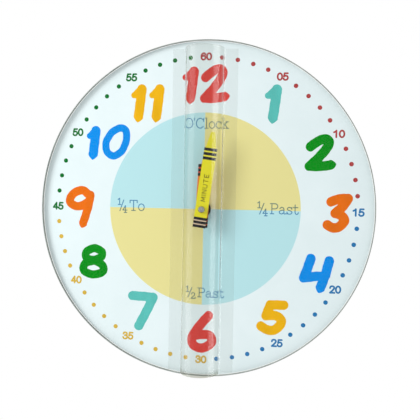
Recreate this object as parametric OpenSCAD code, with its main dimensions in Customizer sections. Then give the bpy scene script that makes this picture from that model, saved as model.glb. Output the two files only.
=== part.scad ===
// Time teaching wall clock: a printed glass disc with crayon-shaped hands under a clear guard strip,
// driven by a battery movement on its back. Every piece is drawn with the dial facing up, the hand
// axis on z and z counted from the wall, and is then stood upright so that the dial faces -Y.

/* [Dial] */
// Diameter of the glass disc
dial_d = 300; // [240:1:360]
// Thickness of the glass
glass_t = 4; // [3:0.5:6]
// Width of the ground bevel on the glass edge
glass_arris = 0.8; // [0.4:0.1:1.2]
// Thickness of the printed film behind the glass
film_t = 0.2; // [0.1:0.05:0.4]
// Bare glass left outside the film
film_margin = 1; // [0.5:0.5:4]

/* [Hands] */
// Width of a crayon hand
hand_w = 11.3; // [8:0.1:14]
// Thickness of the sheet that the hands are cut from
hand_t = 0.8; // [0.5:0.1:1.2]
// Hand axis to the tip of the minute hand
minute_reach = 68.4; // [58:0.1:90]
// Hand axis to the tip of the hour hand
hour_reach = 49.4; // [42:0.1:56]
// Hand axis to the flat tail of both hands
hand_tail = 16; // [10:0.1:24]
// Length of the crayon's bare point
point_l = 14.4; // [8:0.1:20]
// Width of the point where it leaves the wrapper
point_w = 9.2; // [6:0.1:11]
// Width of the blunt tip
tip_w = 4.4; // [2:0.1:5.6]
// Size of the hour hand's worn point, as a share of the minute hand's
hour_point = 0.68; // [0.5:0.01:1]
// Degrees past twelve at which the minute hand rests
minute_rest = 7.7; // [0:0.1:30]
// Degrees past twelve at which the hour hand rests
hour_rest = 2.6; // [0:0.1:30]
// Free height between the two hands
hand_gap = 2.6; // [1.5:0.1:5]
// Diameter of the domed cap nut
cap_d = 6; // [5:0.1:8]
// Height of the domed cap nut
cap_h = 3.8; // [3.2:0.1:5]

/* [Guard strip] */
// Width of the strip over both flanges
guard_w = 58; // [48:1:80]
// Outer width of the arch at its foot
arch_w = 34; // [30:1:46]
// Height of the arch above the glass
guard_h = 21.5; // [19:0.5:30]
// Thickness of the clear sheet
guard_t = 0.5; // [0.4:0.1:1.2]
// Distance from each end of the strip to the rim of the glass
guard_inset = 7; // [5:1:40]
// Free height left above and below the sweeping hands in the side slots
slot_gap = 1.2; // [0.8:0.1:2]

/* [Centre fixing] */
// Thread diameter of the centre bush
bush_d = 8; // [7:0.1:9]
// Length of thread standing above the fixing nut
bush_rise = 1.6; // [0.8:0.1:4]
// Diameter of the front washer
washer_d = 14; // [13:0.5:18]
// Thickness of the front washer
washer_t = 0.6; // [0.4:0.1:1.2]
// Fixing nut across its flats
nut_af = 11; // [10.5:0.1:12.5]
// Thickness of the fixing nut
nut_t = 2; // [1.6:0.1:3]
// Diameter of the rubber washer
rubber_d = 22; // [18:0.5:30]
// Thickness of the rubber washer
rubber_t = 1; // [0.6:0.1:2]

/* [Hanger] */
// Thickness of the steel hanger
hanger_t = 0.8; // [0.6:0.1:1.5]
// Width of the hanger strap
hanger_w = 16; // [14:0.5:24]
// How far the eye stands back towards the wall from the strap
hanger_joggle = 6; // [4:0.5:8]
// Height of the eye above the movement case
eye_rise = 12; // [10:0.5:20]
// Diameter of the round eye that passes a screw head
eye_d = 8; // [7:0.1:10]
// Width of the keyhole slot for the screw's shank
key_w = 3.6; // [3:0.1:4]
// Length of the keyhole slot above the eye's centre
key_l = 7; // [6:0.5:10]
// Diameter of a foam pad
pad_d = 18; // [10:1:30]
// Distance of a foam pad from the rim of the glass
pad_inset = 40; // [25:1:60]

/* [Movement case] */
// Wall of the movement case
case_wall = 1.3; // [1:0.1:2]
// Floor of the movement case
floor_t = 1.4; // [1.2:0.1:2]
// Corner radius of the movement case
case_r = 3; // [2:0.1:5]
// Thickness of the rear cover
cover_t = 1.3; // [1:0.1:2]
// Diameter of the setting knob
knob_d = 8.4; // [7:0.1:9.5]
// Thickness of the setting knob
knob_t = 1.6; // [1.2:0.1:2.4]

/* [Battery] */
// Diameter of the AA cell
cell_d = 14.2; // [13.5:0.1:14.5]
// Length of the AA cell with its nub
cell_l = 50.5; // [49:0.1:50.5]
// Sheet thickness of the battery contacts
contact_t = 0.4; // [0.3:0.1:0.6]

/* [Gear train] */
// Module of the time train
train_m = 0.25; // [0.22:0.01:0.26]
// Module of the minute wheel's teeth
motion_m = 0.3; // [0.26:0.01:0.31]
// Thickness of a wheel
wheel_t = 0.9; // [0.7:0.1:1.1]
// Free height between wheels
layer_gap = 0.45; // [0.35:0.05:0.6]
// Diameter of the minute arbor
arbor_d = 3; // [2.6:0.1:3.1]
// Wall of the hour tube
tube_wall = 0.85; // [0.6:0.05:1]
// Diameter of the train arbors
pivot_d = 1; // [0.8:0.1:1.2]

/* [Hidden] */
$fn = 64;

// Clearances: a running fit, a seat that doesn't turn, and a free gap
run_gap = 0.05;
seat_gap = 0.02;
free_gap = 0.3;
// Overshoot of every cut
cut = 1;

// Teeth: counts, pressure angle, and heights and thinning in modules
cannon_n = 14;
minute_n = 42;
minute_pinion_n = 12;
hour_n = 48;
setting_n = 14;
centre_n = 64;
third_pinion_n = 8;
third_n = 60;
second_pinion_n = 8;
second_n = 60;
step_pinion_n = 15;
step_n = 60;
rotor_n = 8;
pressure = 25;
tooth_tip = 0.7;
tooth_root = 0.95;
tooth_thin = 0.12;
flank_steps = 2;
// The minute pinion and hour wheel share the centre distance of the cannon pinion and minute wheel
hour_m = motion_m * (cannon_n + minute_n) / (minute_pinion_n + hour_n);

// Directions in which the train is laid out, in degrees from three o'clock
minute_at = -10;
setting_at = 28;
third_at = 150;
second_at = 60;
step_at = 15;
rotor_at = -15;

// Places of the arbors in the plane of the dial
centre_pos = [0, 0];
minute_pos = spot(centre_pos, centres(motion_m, cannon_n, minute_n), minute_at);
setting_pos = spot(minute_pos, centres(motion_m, minute_n, setting_n), setting_at);
third_pos = spot(centre_pos, centres(train_m, centre_n, third_pinion_n), third_at);
second_pos = spot(third_pos, centres(train_m, third_n, second_pinion_n), second_at);
step_pos = spot(second_pos, centres(train_m, second_n, step_pinion_n), step_at);
rotor_pos = spot(step_pos, centres(train_m, step_n, rotor_n), rotor_at);

// Turns that set each wheel's teeth into its neighbour's gaps
minute_turn = mesh_turn(0, cannon_n, minute_n, minute_at);
hour_turn = mesh_turn(minute_turn, minute_pinion_n, hour_n, minute_at + 180);
setting_turn = mesh_turn(minute_turn, minute_n, setting_n, setting_at);
third_turn = mesh_turn(0, centre_n, third_pinion_n, third_at);
second_turn = mesh_turn(third_turn, third_n, second_pinion_n, second_at);
step_turn = mesh_turn(second_turn, second_n, step_pinion_n, step_at);
rotor_turn = mesh_turn(step_turn, step_n, rotor_n, rotor_at);

// Radii that several pieces share
arbor_r = arbor_d / 2;
tube_in_r = arbor_r + run_gap;
tube_r = tube_in_r + tube_wall;
bush_in_r = tube_r + run_gap;
bush_r = bush_d / 2;
bush_hole_r = bush_r + seat_gap;
bush_flange_r = bush_r + 1.2;
glass_hole_r = bush_r + 1;
stud_r = 1.25;
pivot_r = pivot_d / 2;
pivot_hole_r = pivot_r + run_gap;
rear_pivot_r = 1.1;
setting_r = 1;
post_r = 1.3;
screw_r = 0.6;
screw_l = 3.5;
boss_r = pivot_r + 1;
boss_h = 1.1;
train_tip_r = tip_radius(third_n, train_m);

// Rotor, stator and coil
magnet_r = 2.7;
magnet_t = 2.4;
magnet_room = 3.2;
air_gap = 0.5;
stator_t = 1;
stator_arm = 3;
stator_inset = 1.5;
core_t = 1;
coil_r = 3.1;
coil_core_w = 2.4;
bobbin_wall = 0.4;
bobbin_flange_r = 3.7;
bobbin_flange_t = 0.8;

// Heights from the wall: the case is as deep as its cell or its train needs
plate_t = 0.6;
clutch_t = 0.5;
bridge_t = 1;
bridge_gap = 1.3;
pinion_over = 0.15;
layer = layer_gap + wheel_t;
train_depth = plate_t + 5 * layer + clutch_t + magnet_room + bridge_t + bridge_gap;
case_d = floor_t + max(cell_d + 2 * seat_gap + free_gap, train_depth + cover_t);
z_floor = case_d - floor_t;
z_plate = z_floor - plate_t;
z_hour = z_plate - layer;
z_minute = z_hour - layer;
z_centre = z_minute - layer - clutch_t;
z_third = z_centre - layer;
z_second = z_third - layer;
z_bridge_top = z_second - magnet_room;
z_bridge = z_bridge_top - bridge_t;
z_rubber = case_d + hanger_t;
z_film = z_rubber + rubber_t;
z_glass = z_film + film_t;
z_face = z_glass + glass_t;
z_nut = z_face + washer_t;
z_bush_top = z_nut + nut_t + bush_rise;
collet_h = 1;
collet_wall = 0.9;
z_collet = z_bush_top + free_gap;
z_hour_hand = z_collet + collet_h;
tube_over = 0.4;
z_minute_hand = z_hour_hand + hand_t + hand_gap;
z_cap = z_minute_hand + hand_t;
stud_h = 2.2;

// Outline of the case: the cell lies across the bottom, the train above it
contact_room = 1.05;
case_w = cell_l + 2 * (contact_room + contact_t + case_wall);
case_half = case_w / 2;
inner_half = case_half - case_wall;
cell_y = -inner_half + free_gap + cell_d / 2;
divider_y = cell_y + cell_d / 2 + 2 * free_gap;
chamber_y = divider_y + case_wall;

// Posts stand clear of the wheels by this much
post_gap = 1.2;
post_reach = train_tip_r + post_gap + post_r;
bridge_posts = [
    spot(second_pos, post_reach, 150),
    spot(rotor_pos, magnet_r + stator_arm + 2 * post_gap + post_r, 45),
    spot(centre_pos, tip_radius(centre_n, train_m) + post_gap + post_r, 215)
];

// Coil beside the case's right wall, under the rotor
coil_y = chamber_y + bobbin_flange_r + 2 * free_gap;
stator_x1 = inner_half - stator_inset;
stator_x0 = rotor_pos[0] - magnet_r - air_gap - stator_arm / 2;
coil_x0 = stator_x0 + stator_arm + free_gap;
coil_len = stator_x1 - stator_arm - free_gap - coil_x0;
z_stator = z_bridge_top + (magnet_room - stator_t) / 2;
z_core = z_stator + stator_t;
stator_posts = [
    [stator_x0 + stator_arm / 2, rotor_pos[1] - magnet_r - stator_arm],
    [stator_x1 - stator_arm / 2, rotor_pos[1] - magnet_r]
];

// Circuit board beside the case's left wall
board_w = 8;
board_l = 28;
board_t = 1;
board_x = -inner_half + contact_t + seat_gap;
board_y = chamber_y + 2 * free_gap;
z_board = z_third - board_t;

// Battery contacts: end plates level with the cell's axis
contact_plate = 7;
contact_z = cell_d / 2 + free_gap;

// Ledges that carry the rear cover
ledge_r = 1.8;
ledge_at = inner_half - ledge_r;
z_cover_seat = cover_t;

// Recess for the setting knob in the rear cover
cup_gap = 0.7;
cup_floor = 0.9;
cup_depth = knob_t + 2 * free_gap;

// Guard strip: a half-round arch on short legs, with slots where the hands sweep through
guard_l = dial_d - 2 * guard_inset;
guard_drop = 2;
arch_r = arch_w / 2;
arch_spring = guard_h - arch_r;
slot_half = minute_reach + 3;
slot_z0 = z_hour_hand - z_face - slot_gap;
slot_z1 = z_cap - z_face + slot_gap;

// Hanger
hanger_ring_r = 12;
strap_top = case_half + hanger_t + 2;
eye_y = case_half + eye_rise;
z_eye = case_d - hanger_joggle;

// A place at a distance and direction from another
function spot(from, reach, angle) = from + reach * [cos(angle), sin(angle)];

// Centre distance of two wheels
function centres(m, a, b) = m * (a + b) / 2;

// Radius over the teeth
function tip_radius(n, m) = m * (n / 2 + tooth_tip);

// Turn of wheel b that meshes with wheel a, where b lies from a in the direction line
function mesh_turn(turn_a, a, b, line) = line + 180 + 180 / b - (turn_a - line) * a / b;

// Involute function in degrees at a radius, for a base radius
function involute(r, base) = let (roll = acos(base / r)) tan(roll) * 180 / PI - roll;

// Radii of the points along one flank: the root, then steps from the base circle to the tip
function flank_radii(base, root, tip) =
    let (low = max(base, root))
    concat(base > root ? [root] : [], [for (i = [0:flank_steps]) low + (tip - low) * i / flank_steps]);

// Outline of a spur gear with its first tooth on the x axis
function gear_points(n, m) =
    let (
        pitch = m * n / 2,
        base = pitch * cos(pressure),
        radii = flank_radii(base, pitch - tooth_root * m, tip_radius(n, m)),
        last = len(radii) - 1,
        half = 90 / n * (1 - tooth_thin) + involute(pitch, base),
        spread = [for (r = radii) half - involute(max(r, base), base)]
    )
    [
        for (tooth = [0:n - 1], side = [-1, 1], i = [0:last])
        let (
            k = side < 0 ? i : last - i,
            angle = 360 * tooth / n + side * spread[k]
        )
        radii[k] * [cos(angle), sin(angle)]
    ];

module gear(n, m, t) {
    linear_extrude(t) polygon(gear_points(n, m));
}

// Pinion that overlaps the wheel layer at height z on both sides
module layer_pinion(n, m, z) {
    translate([0, 0, z - pinion_over]) gear(n, m, wheel_t + 2 * pinion_over);
}

// Wheel in the layer at height z
module layer_wheel(n, m, z) {
    translate([0, 0, z]) gear(n, m, wheel_t);
}

// Round bar between two heights
module bar(r, z0, z1) {
    translate([0, 0, z0]) cylinder(r = r, h = z1 - z0);
}

// Ring between two heights
module ring(r, hole_r, z0, z1) {
    difference() {
        bar(r, z0, z1);
        bar(hole_r, z0 - cut, z1 + cut);
    }
}

// Train arbor from its hole in the pillar plate to its hole in the bridge
module train_arbor() {
    bar(pivot_r, z_bridge, z_floor - free_gap);
}

// Flat outline of a square with round corners
module round_square(half, r) {
    square([2 * half, 2 * (half - r)], center = true);
    square([2 * (half - r), 2 * half], center = true);
    for (x = [-1, 1], y = [-1, 1]) translate([x, y] * (half - r)) circle(r);
}

// Straight strip between two places in the plane of the dial
module strap(a, b, w, t) {
    step = b - a;
    translate(a) rotate(atan2(step[1], step[0])) translate([0, -w / 2]) cube([norm(step), w, t]);
}

// Stands the clock upright with its dial facing -Y
module upright() {
    rotate([90, 0, 0]) children();
}

// Toughened glass disc with a ground edge and a hole for the bush
module glass_dial() {
    r = dial_d / 2;
    color("lightcyan", 0.5) upright() translate([0, 0, z_glass]) rotate_extrude($fn = 128) polygon([
        [glass_hole_r, 0], [r - glass_arris, 0], [r, glass_arris], [r, glass_t - glass_arris],
        [r - glass_arris, glass_t], [glass_hole_r, glass_t]
    ]);
}

// Printed film that backs the glass
module dial_print() {
    color("white") upright() ring(dial_d / 2 - film_margin, glass_hole_r, z_film, z_glass);
}

// Half-round arch profile, grown by an offset: legs up to the spring line, then the round
module arch_profile(r, spring) {
    translate([-r, -cut]) square([2 * r, spring + cut]);
    translate([0, spring]) circle(r, $fn = 96);
}

// Clear strip over the hands, flat on the glass, with a slot in each side for the sweeping hands
module hand_guard() {
    slot_h = slot_z1 - slot_z0;
    color("azure", 0.3) upright() translate([0, -guard_drop, z_face]) difference() {
        rotate([90, 0, 0]) linear_extrude(guard_l, center = true) intersection() {
            translate([-guard_w / 2, 0]) square([guard_w, guard_h]);
            difference() {
                union() {
                    translate([-guard_w / 2, 0]) square([guard_w, guard_t]);
                    arch_profile(arch_r, arch_spring);
                }
                arch_profile(arch_r - guard_t, arch_spring);
            }
        }
        translate([0, guard_drop, slot_z0 + slot_h / 2]) rotate([0, 90, 0]) {
            cube([slot_h, 2 * slot_half - slot_h, arch_w + 2 * cut], center = true);
            for (y = [-1, 1]) translate([0, y * (slot_half - slot_h / 2), 0])
                cylinder(d = slot_h, h = arch_w + 2 * cut, center = true);
        }
    }
}

// Flat washer between the glass and the fixing nut
module front_washer() {
    color("dimgray") upright() ring(washer_d / 2, bush_hole_r, z_face, z_nut);
}

// Thin hexagon nut that clamps the movement to the dial
module fixing_nut() {
    color("black") upright() difference() {
        translate([0, 0, z_nut]) cylinder(d = nut_af / cos(30), h = nut_t, $fn = 6);
        bar(bush_hole_r, z_nut - cut, z_nut + nut_t + cut);
    }
}

// Rubber washer between the hanger and the dial
module rubber_washer() {
    color("black") upright() ring(rubber_d / 2, bush_hole_r, z_rubber, z_film);
}

// Steel hanger: a ring under the washer, a strap up the case, a joggle and a keyhole eye
module hanger_plate() {
    color("silver") upright() difference() {
        union() {
            bar(hanger_ring_r, case_d, z_rubber);
            translate([-hanger_w / 2, 0, case_d]) cube([hanger_w, strap_top, hanger_t]);
            translate([-hanger_w / 2, strap_top - hanger_t, z_eye])
                cube([hanger_w, hanger_t, hanger_joggle + hanger_t]);
            translate([-hanger_w / 2, strap_top - hanger_t, z_eye])
                cube([hanger_w, eye_y + key_w - strap_top + hanger_t, hanger_t]);
            translate([0, eye_y + key_w, 0]) bar(hanger_w / 2, z_eye, z_eye + hanger_t);
        }
        bar(bush_hole_r, case_d - cut, z_rubber + cut);
        translate([0, eye_y, 0]) bar(eye_d / 2, z_eye - cut, z_eye + hanger_t + cut);
        translate([-key_w / 2, eye_y, z_eye - cut]) cube([key_w, key_l - key_w / 2, hanger_t + 2 * cut]);
        translate([0, eye_y + key_l - key_w / 2, 0]) bar(key_w / 2, z_eye - cut, z_eye + hanger_t + cut);
    }
}

// Two foam pads that keep the lower half of the dial off the wall
module foam_pads() {
    reach = dial_d / 2 - pad_inset;
    color("gray") upright() for (angle = [225, 315]) translate(spot(centre_pos, reach, angle))
        bar(pad_d / 2, 0, z_film);
}

// Moulded tray of the movement: train chamber above, battery bay below
module movement_case() {
    grip_r = 8;
    inner_w = 2 * inner_half;
    slot_w = contact_t + seat_gap;
    color("darkslategray") upright() difference() {
        linear_extrude(case_d) round_square(case_half, case_r);
        translate([-inner_half, chamber_y, -cut]) cube([inner_w, inner_half - chamber_y, z_floor + cut]);
        translate([-inner_half, -inner_half, -cut]) cube([inner_w, divider_y + inner_half, z_floor + cut]);
        translate([-inner_half, divider_y - cut, -cut])
            cube([inner_w, case_wall + 2 * cut, z_cover_seat + cut]);
        for (x = [-inner_half, inner_half - slot_w]) translate([x, divider_y - cut, -cut])
            cube([slot_w, case_wall + 2 * cut, z_floor]);
        bar(bush_hole_r, z_floor - cut, case_d + cut);
        translate([0, -inner_half, 0]) rotate([90, 0, 0])
            cylinder(r = grip_r, h = 2 * case_wall + cut, center = true);
    }
}

// Posts, bosses and pivots that stand on the pillar plate
module plate_posts() {
    for (p = [third_pos, second_pos, step_pos, rotor_pos, setting_pos])
        translate(p) bar(boss_r, z_plate - boss_h, z_floor);
    translate(minute_pos) bar(pivot_r, z_minute - free_gap, z_floor);
    for (p = bridge_posts) translate(p) bar(post_r, z_bridge_top, z_floor);
    for (p = stator_posts) translate(p) bar(post_r, z_core, z_floor);
    for (y = [0.2, 0.8]) translate([board_x + board_w / 2, board_y + y * board_l, 0])
        bar(post_r, z_board + board_t, z_floor);
    for (x = [-1, 1]) translate([x, 1] * ledge_at) bar(ledge_r, z_cover_seat, z_floor);
}

// Plate on the floor of the train chamber, with every post and pivot hole of the movement
module pillar_plate() {
    half = inner_half - seat_gap;
    color("burlywood") upright() difference() {
        union() {
            translate([-half, chamber_y + seat_gap, z_plate])
                cube([2 * half, half - chamber_y - seat_gap, plate_t]);
            plate_posts();
        }
        bar(bush_flange_r + seat_gap, z_plate - cut, z_floor + cut);
        for (p = [third_pos, second_pos, step_pos, rotor_pos])
            translate(p) bar(pivot_hole_r, z_plate - boss_h - cut, z_floor + cut);
        translate(setting_pos) bar(setting_r + run_gap, z_plate - boss_h - cut, z_floor + cut);
        for (p = bridge_posts) translate(p)
            bar(screw_r + seat_gap, z_bridge_top - cut, z_bridge_top + screw_l + free_gap);
    }
}

// Threaded bush, pressed through the case floor up to its flange
module centre_bush() {
    color("goldenrod") upright() difference() {
        union() {
            bar(bush_r, z_plate, z_bush_top);
            bar(bush_flange_r, z_plate, z_floor);
        }
        bar(bush_in_r, z_plate - cut, z_bush_top + cut);
    }
}

// Rear cover of the train chamber, dished where the knob sits
module rear_cover() {
    cup_r = knob_d / 2 + cup_gap;
    color("dimgray") upright() difference() {
        union() {
            translate([-inner_half + free_gap / 2, divider_y, 0])
                cube([2 * inner_half - free_gap, inner_half - divider_y - free_gap / 2, cover_t]);
            translate(setting_pos) bar(cup_r + cup_floor, 0, cup_depth + cup_floor);
        }
        translate(setting_pos) bar(cup_r, -cut, cup_depth);
        translate(setting_pos) bar(setting_r + run_gap, -cut, cup_depth + cup_floor + cut);
    }
}

// Skeleton plate that carries the rear pivots of the train
module train_bridge() {
    strap_w = 3.4;
    eye_r = 2.4;
    route = [bridge_posts[2], centre_pos, third_pos, second_pos, step_pos, rotor_pos, bridge_posts[1]];
    color("tan") upright() difference() {
        union() {
            for (i = [0:len(route) - 2])
                translate([0, 0, z_bridge]) strap(route[i], route[i + 1], strap_w, bridge_t);
            translate([0, 0, z_bridge]) strap(second_pos, bridge_posts[0], strap_w, bridge_t);
            for (p = concat(route, [bridge_posts[0]])) translate(p) bar(eye_r, z_bridge, z_bridge_top);
        }
        bar(rear_pivot_r + run_gap, z_bridge - cut, z_bridge_top + cut);
        for (p = [third_pos, second_pos, step_pos, rotor_pos])
            translate(p) bar(pivot_hole_r, z_bridge - cut, z_bridge_top + cut);
        for (p = bridge_posts) translate(p) bar(screw_r + run_gap, z_bridge - cut, z_bridge_top + cut);
    }
}

// Three small screws that hold the bridge on its posts
module bridge_screws() {
    head_r = 1.15;
    head_t = 0.7;
    color("silver") upright() for (p = bridge_posts) translate(p) {
        bar(head_r, z_bridge - head_t, z_bridge);
        bar(screw_r, z_bridge, z_bridge_top + screw_l);
    }
}

// Soft iron stator: a yoke round the rotor and two arms down to the coil
module stator() {
    yoke_y0 = rotor_pos[1] - magnet_r - stator_arm;
    yoke_h = 2 * magnet_r + 1.7 * stator_arm;
    arm_y0 = coil_y - coil_core_w / 2;
    hole_r = magnet_r + air_gap;
    notch_at = 40;
    color("slategray") upright() translate([0, 0, z_stator]) difference() {
        linear_extrude(stator_t) union() {
            translate([stator_x0, yoke_y0]) square([stator_x1 - stator_x0, yoke_h]);
            for (x = [stator_x0, stator_x1 - stator_arm])
                translate([x, arm_y0]) square([stator_arm, yoke_y0 - arm_y0 + cut]);
        }
        translate([rotor_pos[0], rotor_pos[1], -cut]) {
            cylinder(r = hole_r, h = stator_t + 2 * cut);
            for (side = [-1, 1]) translate(side * hole_r * [sin(notch_at), cos(notch_at), 0])
                cylinder(r = air_gap, h = stator_t + 2 * cut);
        }
    }
}

// Iron core that joins the stator arms through the coil
module coil_core() {
    color("gray") upright() translate([stator_x0, coil_y - coil_core_w / 2, z_core])
        cube([stator_x1 - stator_x0, coil_core_w, core_t]);
}

// Moulded bobbin on the core
module coil_bobbin() {
    spool_r = norm([coil_core_w, core_t]) / 2 + bobbin_wall;
    color("ivory") upright() translate([coil_x0, coil_y, z_core + core_t / 2]) rotate([0, 90, 0])
        difference() {
            union() {
                bar(spool_r, 0, coil_len);
                bar(bobbin_flange_r, 0, bobbin_flange_t);
                bar(bobbin_flange_r, coil_len - bobbin_flange_t, coil_len);
            }
            cube([core_t + 2 * seat_gap, coil_core_w + 2 * seat_gap, 3 * coil_len], center = true);
        }
}

// Fine copper winding between the bobbin's flanges
module coil_winding() {
    spool_r = norm([coil_core_w, core_t]) / 2 + bobbin_wall;
    color("chocolate") upright() translate([coil_x0, coil_y, z_core + core_t / 2]) rotate([0, 90, 0])
        ring(coil_r, spool_r + seat_gap, bobbin_flange_t + seat_gap, coil_len - bobbin_flange_t - seat_gap);
}

// Narrow circuit board on two posts
module circuit_board() {
    color("darkgreen") upright() translate([board_x, board_y, z_board]) cube([board_w, board_l, board_t]);
}

// Can of the quartz crystal lying on the board
module quartz_crystal() {
    can_r = 1;
    can_l = 6;
    color("silver") upright() translate([board_x + board_w * 0.7, board_y + board_l * 0.6, z_board - can_r])
        rotate([-90, 0, 0]) cylinder(r = can_r, h = can_l);
}

// Drop of black resin over the clock chip
module clock_chip() {
    drop_r = 2.2;
    drop_h = 0.9;
    drop_ball = (drop_r * drop_r + drop_h * drop_h) / (2 * drop_h);
    color("black") upright() translate([board_x + board_w / 2, board_y + board_l * 0.4, z_board])
        intersection() {
            translate([0, 0, drop_ball - drop_h]) sphere(drop_ball);
            bar(drop_r, -drop_h - cut, 0);
        }
}

// Positive contact: an end plate with a pip, and a rail along the divider to the board
module contact_positive() {
    pip_d = 4;
    rail_h = 1.8;
    rail_z = z_cover_seat + free_gap;
    tab_w = 3;
    tab_l = 2;
    tab_x = board_x + 1;
    x1 = inner_half;
    color("gainsboro") upright() union() {
        translate([x1 - contact_t, cell_y - contact_plate / 2, contact_z - contact_plate / 2])
            cube([contact_t, chamber_y - cell_y + contact_plate / 2 + contact_t, contact_plate]);
        translate([x1 - contact_room - contact_t + free_gap, cell_y, contact_z]) rotate([0, 90, 0])
            cylinder(d = pip_d, h = contact_room + contact_t / 2 - free_gap);
        translate([x1 - contact_t, chamber_y, rail_z]) cube([contact_t, contact_t, contact_z - rail_z]);
        translate([tab_x, chamber_y, rail_z]) cube([x1 - tab_x, contact_t, rail_h]);
        translate([tab_x, chamber_y, rail_z]) cube([tab_w, contact_t, z_board - rail_z]);
        translate([tab_x, chamber_y, z_board - contact_t]) cube([tab_w, tab_l, contact_t]);
    }
}

// Negative contact: an end plate with a conical spring form, bent up to the board's edge
module contact_negative() {
    spring_base_d = 6.5;
    spring_tip_d = 4.5;
    board_lap = 4;
    x0 = -inner_half;
    color("gainsboro") upright() union() {
        translate([x0, cell_y - contact_plate / 2, contact_z - contact_plate / 2])
            cube([contact_t, board_y + board_lap - cell_y + contact_plate / 2, contact_plate]);
        translate([x0 + contact_t / 2, cell_y, contact_z]) rotate([0, 90, 0])
            cylinder(d1 = spring_base_d, d2 = spring_tip_d, h = contact_t / 2 + contact_room - free_gap);
    }
}

// AA cell lying across the bay with its nub to the right
module battery_cell() {
    nub_d = 5.2;
    nub_h = 1.2;
    bevel = 0.6;
    color("darkorange") upright() translate([-cell_l / 2, cell_y, cell_d / 2 + free_gap / 2])
        rotate([0, 90, 0]) rotate_extrude() polygon([
            [0, 0], [cell_d / 2 - bevel, 0], [cell_d / 2, bevel],
            [cell_d / 2, cell_l - nub_h - bevel], [cell_d / 2 - bevel, cell_l - nub_h],
            [nub_d / 2, cell_l - nub_h], [nub_d / 2, cell_l], [0, cell_l]
        ]);
}

// Minute arbor: rear pivot, collar, cannon pinion, shaft, and a stud for the cap nut
module minute_arbor() {
    collar_r = 1.8;
    collar_t = 0.15;
    color("silver") upright() union() {
        bar(rear_pivot_r, z_bridge, z_minute + wheel_t);
        bar(collar_r, z_centre - run_gap - collar_t, z_centre - run_gap);
        layer_pinion(cannon_n, motion_m, z_minute);
        bar(arbor_r, z_minute, z_minute_hand);
        bar(stud_r, z_minute, z_cap + stud_h);
    }
}

// Dished washer that lets the hands slip when they are set
module clutch_spring() {
    spring_r = 1.7;
    color("gold") upright() ring(spring_r, rear_pivot_r + seat_gap, z_centre + wheel_t + run_gap,
        z_minute - pinion_over);
}

// Flat outline of a crayon: wrapper, shoulders and blunt point, worn down to a share of its full size
module crayon(reach, share = 1) {
    shoulder = reach - share * point_l;
    foot_r = share * point_w / 2;
    tip_r = share * tip_w / 2;
    polygon([
        [-hand_w / 2, -hand_tail], [hand_w / 2, -hand_tail], [hand_w / 2, shoulder],
        [foot_r, shoulder], [tip_r, reach - tip_r], [-tip_r, reach - tip_r],
        [-foot_r, shoulder], [-hand_w / 2, shoulder]
    ]);
    translate([0, reach - tip_r]) circle(tip_r);
}

// Minute hand clamped between the arbor's shoulder and the cap nut
module minute_hand() {
    color("yellow") upright() rotate(-minute_rest) translate([0, 0, z_minute_hand]) difference() {
        linear_extrude(hand_t) crayon(minute_reach);
        bar(stud_r + seat_gap, -cut, hand_t + cut);
    }
}

// Domed cap nut on the stud
module cap_nut() {
    skirt = 1;
    dome_h = cap_h - skirt;
    dome_ball = (pow(cap_d / 2, 2) + pow(dome_h, 2)) / (2 * dome_h);
    color("silver") upright() translate([0, 0, z_cap]) difference() {
        intersection() {
            bar(cap_d / 2, 0, cap_h);
            translate([0, 0, cap_h - dome_ball]) sphere(dome_ball + seat_gap);
        }
        bar(stud_r + seat_gap, -cut, stud_h + seat_gap);
    }
}

// Hour wheel with the tube that carries the hour hand
module hour_wheel() {
    color("white") upright() rotate(hour_turn) difference() {
        union() {
            layer_wheel(hour_n, hour_m, z_hour);
            bar(tube_r, z_hour, z_hour_hand + hand_t + tube_over);
        }
        bar(tube_in_r, z_hour - cut, z_cap);
    }
}

// Brass collet that grips the hour tube and carries the hour hand
module hour_collet() {
    color("goldenrod") upright() ring(tube_r + collet_wall, tube_r + seat_gap, z_collet,
        z_hour_hand);
}

// Hour hand seated on its collet
module hour_hand() {
    color("orangered") upright() rotate(-hour_rest) translate([0, 0, z_hour_hand]) difference() {
        linear_extrude(hand_t) crayon(hour_reach, hour_point);
        bar(tube_r + seat_gap, -cut, hand_t + cut);
    }
}

// Minute wheel and its pinion, turning on a post of the pillar plate
module minute_wheel() {
    color("white") upright() translate(minute_pos) rotate(minute_turn) difference() {
        union() {
            layer_wheel(minute_n, motion_m, z_minute);
            translate([0, 0, z_minute]) gear(minute_pinion_n, hour_m, layer + wheel_t + pinion_over);
        }
        bar(pivot_hole_r, z_minute - cut, z_floor + cut);
    }
}

// Setting arbor with the pinion that drives the minute wheel
module setting_arbor() {
    color("white") upright() translate(setting_pos) rotate(setting_turn) {
        layer_pinion(setting_n, motion_m, z_minute);
        bar(setting_r, knob_t / 2 + free_gap, z_floor - free_gap);
    }
}

// Setting knob with a fluted edge, sunk in the rear cover
module setting_knob() {
    flutes = 16;
    flute_r = 0.6;
    color("black") upright() translate(setting_pos) difference() {
        bar(knob_d / 2, free_gap, free_gap + knob_t);
        for (i = [0:flutes - 1]) rotate(i * 360 / flutes) translate([(knob_d + flute_r) / 2, 0, 0])
            bar(flute_r, free_gap - cut, free_gap + knob_t + cut);
        bar(setting_r + seat_gap, knob_t / 2 + free_gap, knob_t + free_gap + cut);
    }
}

// Centre wheel, free on the minute arbor but for its clutch
module centre_wheel() {
    color("gold") upright() difference() {
        layer_wheel(centre_n, train_m, z_centre);
        bar(rear_pivot_r + run_gap, z_centre - cut, z_centre + wheel_t + cut);
    }
}

// Third wheel with its pinion in the centre wheel's layer
module third_wheel() {
    color("ivory") upright() translate(third_pos) rotate(third_turn) {
        layer_wheel(third_n, train_m, z_third);
        layer_pinion(third_pinion_n, train_m, z_centre);
        train_arbor();
    }
}

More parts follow.
